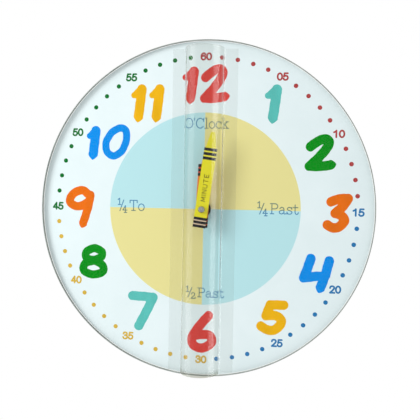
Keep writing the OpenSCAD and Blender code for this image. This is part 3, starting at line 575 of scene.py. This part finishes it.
hour_numbers = {
    "red": (paint(224, 60, 52), ("1", -14.6, 110.0, 16.4, 33.4), ("2", 8.3, 111.5, 26.7, 34.4),
        ("6", 0.6, -110.5, 27.0, 38.1)),
    "teal": (paint(92, 192, 184), ("1", 59.1, 93.4, 16.5, 34.4), ("7", -54.3, -94.1, 27.6, 35.8)),
    "green": (paint(0, 142, 20), ("2", 102.0, 51.4, 27.3, 32.4), ("8", -101.0, -50.3, 27.1, 31.8)),
    "orange": (paint(234, 110, 10), ("3", 117.8, -1.0, 25.5, 34.2), ("9", -114.5, -0.6, 27.3, 38.7)),
    "blue": (paint(4, 142, 234), ("4", 100.8, -54.3, 30.1, 34.5), ("1", -103.3, 58.1, 14.6, 30.9),
        ("0", -81.2, 59.2, 26.2, 32.0)),
    "amber": (paint(240, 180, 10), ("5", 63.2, -94.8, 28.0, 31.3), ("1", -61.6, 94.0, 15.8, 34.3),
        ("1", -45.1, 94.0, 15.6, 34.3)),
}
for label, (colour, *places) in hour_numbers.items():
    brush_ink = finish(f"{label}_brush_ink", shade(colour, 0.92), shade(colour, 1.05), rough=(0.4, 0.55), fine=1500,
                       broad=240, stretch=(0.5, 1, 0.25), dent=0.04, gloss=0.04)
    strokes = []
    for digit, x, y, across, tall in places:
        brush, nib = brushes.get(digit, (broad_brush, round_nib))
        for layer, path in enumerate(fitted(digits[digit], (x, y), (across, tall), brush)):
            width = brush * (flag_share if digit == "1" and layer < flag_count else 1.0)
            strokes.append(stroke(path, width, print_z + layer_step * layer, count=96, nib=nib, waver=brush_waver))
    piece(f"hour_numbers_{label}", inked(strokes), brush_ink, "clock")

# Quarter words: O'Clock, a quarter past, half past and a quarter to, as a teaching dial names its quarters.
# Thin slab-serif strokes of steel-blue screen ink, which takes some of the warm tint of the quarter under it.
letters = {
    "O": (0.92, [bow(0.44, 0.5, 0.4, 0.5, 90, 450)]),
    "'": (0.24, [[(0.1, 1.02), (0.07, 0.76)]]),
    "C": (0.92, [bow(0.46, 0.5, 0.4, 0.5, 42, 318), [(0.8, 0.98), (0.8, 0.7)]]),
    "l": (0.42, [[(0.04, 1.02), (0.19, 1.02)], [(0.19, 1.02), (0.19, 0)], [(0.02, 0), (0.37, 0)]]),
    "o": (0.7, [bow(0.33, 0.33, 0.29, 0.33, 90, 450)]),
    "c": (0.66, [bow(0.34, 0.33, 0.29, 0.33, 48, 318), [(0.58, 0.64), (0.58, 0.44)]]),
    "k": (0.72, [[(0, 1.02), (0.14, 1.02)], [(0.14, 1.02), (0.14, 0)], [(0, 0), (0.28, 0)],
        [(0.52, 0.66), (0.14, 0.25)], [(0.27, 0.39), (0.56, 0)], [(0.4, 0.66), (0.64, 0.66)],
        [(0.44, 0), (0.68, 0)]]),
    "P": (0.78, [[(0, 1), (0.42, 1)], bow(0.42, 0.745, 0.26, 0.255, 90, -90), [(0.42, 0.49), (0.14, 0.49)],
        [(0.14, 1), (0.14, 0)], [(0, 0), (0.32, 0)]]),
    "a": (0.7, [[(0.1, 0.52), (0.22, 0.65), (0.4, 0.62), (0.48, 0.46)],
        [(0.48, 0.48), (0.48, 0.1), (0.54, 0), (0.66, 0.03)],
        [(0.48, 0.38), (0.25, 0.36), (0.07, 0.25), (0.07, 0.1), (0.22, 0), (0.38, 0.05), (0.48, 0.18)]]),
    "s": (0.62, [[(0.5, 0.5), (0.42, 0.62), (0.24, 0.66), (0.08, 0.55), (0.14, 0.41), (0.3, 0.35), (0.47, 0.27),
        (0.52, 0.12), (0.38, 0.01), (0.18, 0.01), (0.06, 0.15)], [(0.5, 0.66), (0.5, 0.48)],
        [(0.06, 0.2), (0.06, 0)]]),
    "t": (0.54, [[(0.18, 0.92), (0.18, 0.4), (0.19, 0.14), (0.28, 0), (0.42, 0.02), (0.48, 0.16)],
        [(0.02, 0.66), (0.42, 0.66)]]),
    "T": (0.86, [[(0.04, 1), (0.76, 1)], [(0.04, 1), (0.04, 0.76)], [(0.76, 1), (0.76, 0.76)],
        [(0.4, 1), (0.4, 0)], [(0.22, 0), (0.58, 0)]]),
    "1/": (0.46, [[(0, 1.04), (0.16, 1.18)], [(0.16, 1.18), (0.16, 0.56)], [(0.02, 0.56), (0.3, 0.56)],
        [(0.58, 1.02), (0.2, -0.06)]]),
    "/4": (0.56, [[(0.3, 0.46), (0.04, 0.02)], [(0.04, 0.02), (0.46, 0.02)], [(0.3, 0.46), (0.3, -0.22)],
        [(0.18, -0.22), (0.44, -0.22)]]),
    "/2": (0.56, [[(0.06, 0.28), (0.16, 0.42), (0.34, 0.42), (0.42, 0.26), (0.3, 0.06), (0.06, -0.2)],
        [(0.06, -0.2), (0.46, -0.2)], [(0.46, -0.2), (0.46, -0.08)]]),
    " ": (0.16, []),
}
word_ink = ink("word_ink", paint(78, 138, 178))
overlay(word_ink, placed(word_ink, dial_quarters).outputs["Warm"], paint(112, 134, 122))
word_pen, word_lift = 0.85, 0.01
words = {
    "hour_word": (["O", "'", "C", "l", "o", "c", "k"], (1.5, 76.5), (40.1, 9.8)),
    "quarter_past_word": (["1/", "/4", " ", "P", "a", "s", "t"], (66.1, 1.5), (36.5, 13.3)),
    "half_past_word": (["1/", "/2", " ", "P", "a", "s", "t"], (2.5, -75.1), (35.0, 11.9)),
    "quarter_to_word": (["1/", "/4", " ", "T", "o"], (-66.5, 1.7), (25.3, 13.7)),
}
for name, (word, centre, size) in words.items():
    paths = fitted(spelled(word, letters), centre, size, word_pen)
    strokes = [stroke(path, word_pen, print_z + word_lift, crown=0.01, count=28) for path in paths]
    piece(name, inked(strokes), word_ink, "clock")

# Glass dial: the round front that carries everything, with a ground edge and a hole for the bush.
# Toughened float glass, 4 mm; the edge is ground and dull, and its grey is painted shade for the dark line of the
# rim; the faces are polished.
# Its refractive index is set below that of glass, so that the white room doesn't veil the print behind it.
glass_low, glass_high = box_mm("glass_dial")
glass_r, z_face = glass_high[0], -glass_low[1]
arris, bore_r, glass_sides = 0.6, 5.0, 256
z_back = z_front - 0.02


def clear(name, tint, rough, ior, veil, gloss):
    """Clear solid: a transmitting surface that lets shadow and diffuse rays straight through, dimmed by a veil."""
    material = finish(name, tint, shade(tint, 0.985), rough=rough, fine=300, broad=25, dent=0.0, gloss=gloss)
    nodes, links = material.node_tree.nodes, material.node_tree.links
    shader = preset(nodes["Principled BSDF"], {"Transmission Weight": 1.0, "IOR": ior})
    path, through = nodes.new("ShaderNodeLightPath"), nodes.new("ShaderNodeBsdfTransparent")
    preset(through, {"Color": veil})
    last = shader.outputs["BSDF"]
    for ray in ("Is Shadow Ray", "Is Diffuse Ray"):
        mix = nodes.new("ShaderNodeMixShader")
        links.new(path.outputs[ray], mix.inputs["Fac"])
        links.new(last, mix.inputs[1])
        links.new(through.outputs["BSDF"], mix.inputs[2])
        last = mix.outputs["Shader"]
    links.new(last, nodes["Material Output"].inputs["Surface"])
    return material


face_glass = clear("face_glass", (0.985, 0.995, 0.99, 1), (0.0, 0.02), 1.22, (0.97, 0.98, 0.975, 1), 0.12)
# Painted shade: the ground edge is a mid grey that stands for the dark line the rim shows.
ground_edge_shade = finish("ground_edge_shade", paint(146, 153, 148), paint(174, 180, 175), rough=(0.55, 0.75), fine=2500,
                    broad=90, dent=0.3, gloss=0.3)
faces_profile = [(glass_r - arris, z_face), (bore_r, z_face), (bore_r, z_back), (glass_r - arris, z_back)]
edge_profile = [(glass_r - arris, z_back), (glass_r, z_back + arris), (glass_r, z_face - arris),
                (glass_r - arris, z_face)]
piece("dial_glass", [turned(profile, sides=glass_sides) for profile in (faces_profile, edge_profile)],
      [face_glass, ground_edge_shade], "clock", "glass_dial", sharp=20)

# Front washer and fixing nut: they clamp the movement to the dial from the front.
# Pressed and turned steel with black oxide, bright where the spanner has rubbed.
dress(finish("oxide", paint(28, 28, 29), paint(52, 52, 53), rough=(0.3, 0.5), fine=1800, broad=260, metal=0.6),
      "front_washer", "fixing_nut")

# Hands: two flat crayons, one long and yellow, one short and orange, pushed on the arbor and the hour tube.
# Stamped sheet, 0.8 mm, with a satin printed wrapper: three dark bands at each end, with paler gaps between them.
def band_group():
    """Three bands at each end of a hand, from the distance along it in millimetres.

    Band is 1 in a dark band; Head and Tail are 1 from the first to the last band of their end; Point is 1 past the
    shoulder.
    """
    tree = bpy.data.node_groups.new("wrapper_bands", "ShaderNodeTree")
    for label, way in (("Along", "INPUT"), ("Shoulder", "INPUT"), ("End", "INPUT"), ("Band", "OUTPUT"),
                       ("Head", "OUTPUT"), ("Tail", "OUTPUT"), ("Point", "OUTPUT")):
        tree.interface.new_socket(name=label, in_out=way, socket_type="NodeSocketFloat")
    links, work = tree.links, sums(tree)
    entry, leave = tree.nodes.new("NodeGroupInput"), tree.nodes.new("NodeGroupOutput")
    along, shoulder, end = entry.outputs[:3]
    band = 0.0
    for label, depth in (("Head", work("SUBTRACT", shoulder, along)), ("Tail", work("ADD", along, end))):
        pitch, share = band_pitch[label]
        step = work("DIVIDE", depth, pitch)
        inside = work("MULTIPLY", work("GREATER_THAN", step, 0.0), work("LESS_THAN", step, band_count - 1 + share))
        band = work("ADD", work("MULTIPLY", inside, work("LESS_THAN", work("FRACT", step), share)), band)
        links.new(inside, leave.inputs[label])
    links.new(band, leave.inputs["Band"])
    links.new(work("GREATER_THAN", along, shoulder), leave.inputs["Point"])
    return tree


band_count = 3
band_pitch = {"Head": (3.9, 0.68), "Tail": (3.3, 0.74)}
wrapper_bands = band_group()


def crayon(name, body_low, body_high, inks, rest, shoulder, end=16.0):
    """Wrapper finish of a hand resting at an angle past twelve: inks of the point, of the gaps and of the bands."""
    material = finish(name, body_low, body_high, rough=(0.36, 0.5), fine=3000, broad=110, stretch=(1, 1, 0.6),
                      gloss=0.2)
    nodes, links = material.node_tree.nodes, material.node_tree.links
    place, along = nodes.new("ShaderNodeTexCoord"), nodes.new("ShaderNodeVectorMath")
    along.operation = "DOT_PRODUCT"
    along.inputs[1].default_value = (1000 * np.sin(np.radians(rest)), 0, 1000 * np.cos(np.radians(rest)))
    links.new(place.outputs["Object"], along.inputs[0])
    bands = placed(material, wrapper_bands, Shoulder=shoulder, End=end)
    links.new(along.outputs["Value"], bands.inputs["Along"])
    for mask, colour in inks.items():
        overlay(material, bands.outputs[mask], colour)
    return material


minute_rest, hour_rest = 7.7, 2.6
band_black = paint(18, 16, 13)
yellow_inks = {"Point": paint(230, 220, 40), "Head": paint(238, 230, 60), "Tail": paint(230, 202, 172),
               "Band": band_black}
orange_inks = {"Point": paint(226, 116, 40), "Head": paint(210, 76, 40), "Tail": paint(210, 76, 40),
               "Band": band_black}
yellow = crayon("yellow_wrapper", paint(234, 224, 12), paint(241, 232, 28), yellow_inks, minute_rest, 54.0)
orange = crayon("orange_wrapper", paint(234, 128, 30), paint(241, 140, 42), orange_inks, hour_rest, 39.6)
dress(yellow, "minute_hand")
dress(orange, "hour_hand")

# Hand words: HOUR and MINUTE, printed along the hands, reading from the axis to the point.
# Fine dark olive ink on the wrapper, in plain capitals set wide apart.
hand_ink = ink("hand_ink", paint(40, 34, 10))
hand_pen, hand_word_tall, hand_word_lift = 0.55, 4.3, 0.01
capitals = {
    "M": (1.3, [[(0, 0), (0.06, 1)], [(0.06, 1), (0.44, 0.2)], [(0.44, 0.2), (0.82, 1)],
        [(0.82, 1), (0.88, 0)]]),
    "I": (0.44, [[(0, 0), (0, 1)]]),
    "N": (1.12, [[(0, 0), (0, 1)], [(0, 1), (0.7, 0)], [(0.7, 0), (0.7, 1)]]),
    "U": (1.12, [[(0, 1), (0, 0.34), (0.1, 0.08), (0.35, 0), (0.6, 0.08), (0.7, 0.34), (0.7, 1)]]),
    "T": (1.16, [[(0, 1), (0.76, 1)], [(0.38, 1), (0.38, 0)]]),
    "E": (1.04, [[(0, 0), (0, 1)], [(0, 1), (0.6, 1)], [(0, 0), (0.62, 0)], [(0, 0.52), (0.48, 0.52)]]),
    "H": (1.12, [[(0, 0), (0, 1)], [(0.7, 0), (0.7, 1)], [(0, 0.52), (0.7, 0.52)]]),
    "O": (1.24, [bow(0.41, 0.5, 0.41, 0.5, 90, 450)]),
    "R": (1.04, [[(0, 0), (0, 1)], [(0, 1), (0.36, 1)], bow(0.36, 0.76, 0.25, 0.24, 90, -90),
        [(0.36, 0.52), (0, 0.52)], [(0.34, 0.52), (0.66, 0)]]),
}
hand_words = (("hour_hand_word", "HOUR", "hour_hand", hour_rest, 18.0, 15.0, "hour", "orange_paint"),
              ("minute_hand_word", "MINUTE", "minute_hand", minute_rest, 19.0, 24.0, "minute", "yellow_paint"))
for name, word, node, rest, middle, length, body, slot in hand_words:
    top = -box_mm(node)[0][1]
    turn = np.radians(rest)
    centre = middle * np.array([np.sin(turn), np.cos(turn)])
    paths = fitted(spelled(word, capitals), centre, (length, hand_word_tall), hand_pen, np.pi / 2 - turn)
    strokes = [stroke(path, hand_pen, top + hand_word_lift, crown=0.01, count=20) for path in paths]
    piece(name, inked(strokes), hand_ink, body)

# Cap nut: the small bright dome that holds the minute hand on its stud.
# Turned brass, nickel-plated and polished, with a short straight skirt; the nickel is painted darker than bright
# nickel, as a painted dark reflection.
cap_low, cap_high = box_mm("cap_nut")
cap_r, cap_base, cap_top = cap_high[0], -cap_high[1], -cap_low[1]
skirt, cap_bevel, dome_count = 1.0, 0.15, 17
dome = bow(0, cap_base + skirt, cap_r, cap_top - cap_base - skirt, 0, 90, dome_count)
cap_profile = np.vstack([[(0, cap_base), (cap_r - cap_bevel, cap_base), (cap_r, cap_base + cap_bevel)], dome])
# Painted reflection: the nickel is set darker than bright nickel, to stand for dark surroundings mirrored in the
# dome.
cap_polish_dark_reflection = finish("cap_polish_dark_reflection", paint(158, 158, 161), paint(186, 186, 188), rough=(0.06, 0.14), fine=900, broad=300,
                metal=1.0)
cap = piece("cap_dome", [turned(cap_profile, sides=48)], cap_polish_dark_reflection, "minute", "cap_nut", sharp=40)

# Hand guard: the clear strip from rim to rim over the hands, an arch between two flat flanges.
# Clear plastic sheet, 0.5 mm, formed over a rod; each side has a long slot that lets the hands sweep through.
# The arch is painted a little grey as shade, and its lower end darker and yellower as painted shade; the two ends
# are sawn and white.
guard_low, guard_high = box_mm("hand_guard")
sheet = 0.5
arch_r, arch_top = 17.0, -guard_low[1] - z_face
spring = arch_top - arch_r
bend = 2.0
film_of_air = 0.05
slot_low, slot_high, slot_end = 4.3, 10.9, 71.4
end_steps, body_steps, bend_steps, arch_steps = 9, 13, 6, 25


def guard_section(depth):
    """Half of the strip's section at a depth below its outer skin, from the flange's edge to the crown.

    Flange at one height, a bend of one radius, an upright leg, and a quarter round up to the crown.
    """
    flat_z = sheet - depth
    leg_x = arch_r - depth
    bend_r = bend + depth
    corner = bow(leg_x + bend_r, flat_z + bend_r, bend_r, bend_r, -90, -180, bend_steps)
    edge_turn = np.arcsin((slot_high - spring) / (arch_r - sheet / 2))
    sweep = np.sort(np.append(np.linspace(0, np.pi / 2, arch_steps), edge_turn))[:, None]
    rise = np.hstack([leg_x * np.cos(sweep), spring + leg_x * np.sin(sweep)])
    return np.vstack([[(guard_high[0], flat_z)], corner, [(leg_x, slot_low)], rise])


def guard_skin(depth):
    """Grid of one skin: the section mirrored about the crown, carried along the strip, bowed round the slots."""
    half = guard_section(depth)
    section = np.vstack([half, (half * (-1, 1))[-2::-1]])
    middle = guard_section(sheet / 2)[:, 1]
    middle = np.concatenate([middle, middle[-2::-1]])
    radius = (slot_high - slot_low) / 2
    reach = np.sqrt(np.maximum(radius ** 2 - (middle - (slot_low + slot_high) / 2) ** 2, 0)) + slot_end - radius
    u = np.linspace(0, 1, end_steps)
    tails = guard_low[2] + (-reach[:, None] - guard_low[2]) * u
    heads = reach[:, None] + (guard_high[2] - reach[:, None]) * u
    body = -reach[:, None] + 2 * reach[:, None] * np.linspace(0, 1, body_steps)[1:-1]
    run = np.hstack([tails, body, heads])
    across = np.broadcast_to(section[:, None, 0], run.shape)
    out = np.broadcast_to(section[:, None, 1] + z_face + film_of_air, run.shape)
    return np.stack([across, run, out], -1), middle


outer, heights = guard_skin(0.0)
inner = guard_skin(sheet)[0]
rows, columns = outer.shape[:2]
guard_faces = quads(outer)
row, column = guard_faces[:, 0] // columns, guard_faces[:, 0] % columns
level = (heights[row] + heights[row + 1]) / 2
in_slot = (level > slot_low) & (level < slot_high) & (column >= end_steps - 1) & (column < columns - end_steps)
kept = guard_faces[~in_slot][:, ::-1]
edges = np.stack([kept, np.roll(kept, -1, axis=1)], -1).reshape(-1, 2)
first, counts = np.unique(np.sort(edges, axis=1), axis=0, return_index=True, return_counts=True)[1:]
rim = edges[first[counts == 1]]
shift = rows * columns
walls = np.stack([rim[:, 1], rim[:, 0], rim[:, 0] + shift, rim[:, 1] + shift], -1)
at_end = np.isin(rim % columns, (0, columns - 1)).all(1)
guard_points = np.concatenate([stand(outer), stand(inner)])
clear_faces = np.vstack([kept, kept[:, ::-1] + shift, walls[~at_end]])


def ramp(tree, value, start, stop):
    """Share that runs from 0 to 1 while a value runs from the start to the stop."""
    node = preset(tree.nodes.new("ShaderNodeMapRange"), {"From Min": start, "From Max": stop})
    tree.links.new(value, node.inputs["Value"])
    return node.outputs["Result"]


clear_sheet = clear("clear_sheet", (0.90, 0.905, 0.895, 1), (0.0, 0.015), 1.14, (1, 1, 1, 1), 0.3)
preset(clear_sheet.node_tree.nodes["Principled BSDF"], {"Coat Weight": 0.2, "Coat Roughness": 0.15})
# Painted shade: the arch of the sheet is greyer than the flanges, and darker and yellower again towards its lower
# end.
arch_painted_shade, end_painted_shade = (0.81, 0.815, 0.795, 1), (0.56, 0.57, 0.51, 1)
arch_shade_from, arch_shade_full, end_shade_from, end_shade_full = 3.0, 8.0, 5.0, 1.0
sheet_y, sheet_z = object_axes(clear_sheet.node_tree)[1:]
arch_shade_share = ramp(clear_sheet.node_tree, sheet_y, -(z_face + arch_shade_from) / 1000, -(z_face + arch_shade_full) / 1000)
end_shade_share = ramp(clear_sheet.node_tree, sheet_z, (guard_low[2] + end_shade_from) / 1000, (guard_low[2] + end_shade_full) / 1000)
overlay(clear_sheet, arch_shade_share, tinted(clear_sheet, end_shade_share, arch_painted_shade, end_painted_shade))
sawn_edge = finish("sawn_edge", paint(198, 204, 196), paint(224, 228, 221), rough=(0.6, 0.8), fine=3000, broad=200,
                   stretch=(1, 1, 0.2), dent=0.3)
guard = piece("guard_strip", [(guard_points, clear_faces), (guard_points, walls[at_end])], [clear_sheet, sawn_edge],
              "clock", "hand_guard", sharp=40)

# Floor: a plain pale disc below the clock, outside the photograph's view.
# Stage only: it catches the soft shadow and isn't part of the object.
floor_r, floor_z, floor_sides = 650.0, -450.0, 96
floor_grid = lathe([(0.0, floor_z), (300.0, floor_z), (floor_r, floor_z)], floor_sides)
floor_faces = quads(floor_grid, closed=True)[:, ::-1]
floor_mesh = bpy.data.meshes.new("floor")
floor_mesh.from_pydata(floor_grid.reshape(-1, 3) / 1000, [], floor_faces.tolist())
weld(floor_mesh)
floor_mesh.materials.append(finish("floor_pale", paint(244, 244, 243), paint(248, 248, 247), rough=(0.6, 0.8)))
added("floor", floor_mesh)

# Light: a pale room, and a soft lamp from the left that gives the hands their shadow and isn't mirrored anywhere.
# The room is white to the eye and in reflections, and dimmer where it lights the object.
# Two tall lamps at the sides light only the strip and the cap nut, as the pale streaks along the arch.
world = bpy.data.worlds.new("pale_room")
bpy.context.scene.world = world
world.use_nodes = True
room, room_links = world.node_tree.nodes, world.node_tree.links
room_light, room_white = room["Background"], room.new("ShaderNodeBackground")
preset(room_light, {"Color": (0.98, 0.99, 1.0, 1), "Strength": 0.71})
preset(room_white, {"Color": (1, 1, 1, 1), "Strength": 1.0})
room_path, room_mix = room.new("ShaderNodeLightPath"), room.new("ShaderNodeMixShader")
room_seen, room_work = room_path.outputs["Is Camera Ray"], sums(world.node_tree)
for kind in ("Is Glossy Ray", "Is Transmission Ray"):
    room_seen = room_work("MAXIMUM", room_seen, room_path.outputs[kind])
room_links.new(room_seen, room_mix.inputs["Fac"])
room_links.new(room_light.outputs["Background"], room_mix.inputs[1])
room_links.new(room_white.outputs["Background"], room_mix.inputs[2])
room_links.new(room_mix.outputs["Shader"], room["World Output"].inputs["Surface"])


def aim(right, up, forward, place):
    """Matrix of a camera or lamp at a place: its columns are right, up, backward and the place."""
    columns = np.stack([right, up, -np.asarray(forward), place], 1)
    return Matrix(np.vstack([columns, [0, 0, 0, 1]]).tolist())


def facing(place, target):
    """Right, up and forward of something at a place that looks at a target, level with the floor."""
    forward = np.asarray(target, float) - place
    forward /= np.linalg.norm(forward)
    right = np.cross(forward, (0, 0, 1))
    right /= np.linalg.norm(right)
    return right, np.cross(right, forward), forward


def soft_light(name, place, size, energy):
    """Rectangular lamp at a place, of a size across and up, turned to the middle of the dial."""
    data = bpy.data.lights.new(name, "AREA")
    data.shape = "RECTANGLE"
    data.size, data.size_y = size
    data.energy = energy
    light = added(name, data)
    light.matrix_world = aim(*facing(np.array(place), (0, -0.02, 0)), place)
    return light


lamp = soft_light("soft_lamp", (-0.9, -0.6, 0.35), (0.4, 0.5), 7.5)
lamp.visible_glossy = lamp.visible_transmission = False
streaked = bpy.data.collections.new("streaked")
streaked.objects.link(guard)
streaked.objects.link(cap)
for name, place, energy in (("left_strip", (-1.0, -0.4, 0.0), 18.0), ("right_strip", (1.0, -0.2, 0.0), 30.0)):
    strip = soft_light(name, place, (0.8, 1.8), energy)
    strip.visible_diffuse = strip.visible_transmission = strip.visible_camera = False
    strip.light_linking.receiver_collection = streaked

# Camera: a hand-held camera half a metre from the dial, a little to the right of the axis and turned to it.
# Its place and turn come from the dots, the cap nut and the hands in the photograph's 420 by 420 frame.
camera_place = np.array([0.0751, -0.55355, 0.0168])
yaw, pitch, roll = np.radians([7.38, -1.86, 1.07])
focal_pixels, frame_pixels, sensor = 604.0, 420, 36.0
forward = np.array([-np.sin(yaw) * np.cos(pitch), np.cos(yaw) * np.cos(pitch), np.sin(pitch)])
level = np.array([np.cos(yaw), np.sin(yaw), 0])
upward = np.cross(level, forward)
camera_data = bpy.data.cameras.new("camera")
camera_data.sensor_width = sensor
camera_data.lens = focal_pixels / frame_pixels * sensor
camera_data.clip_start = 0.01
camera = added("camera", camera_data)
camera.matrix_world = aim(np.cos(roll) * level + np.sin(roll) * upward,
                          np.cos(roll) * upward - np.sin(roll) * level, forward, camera_place)
bpy.context.scene.camera = camera
bpy.context.scene.view_settings.view_transform = "Standard"
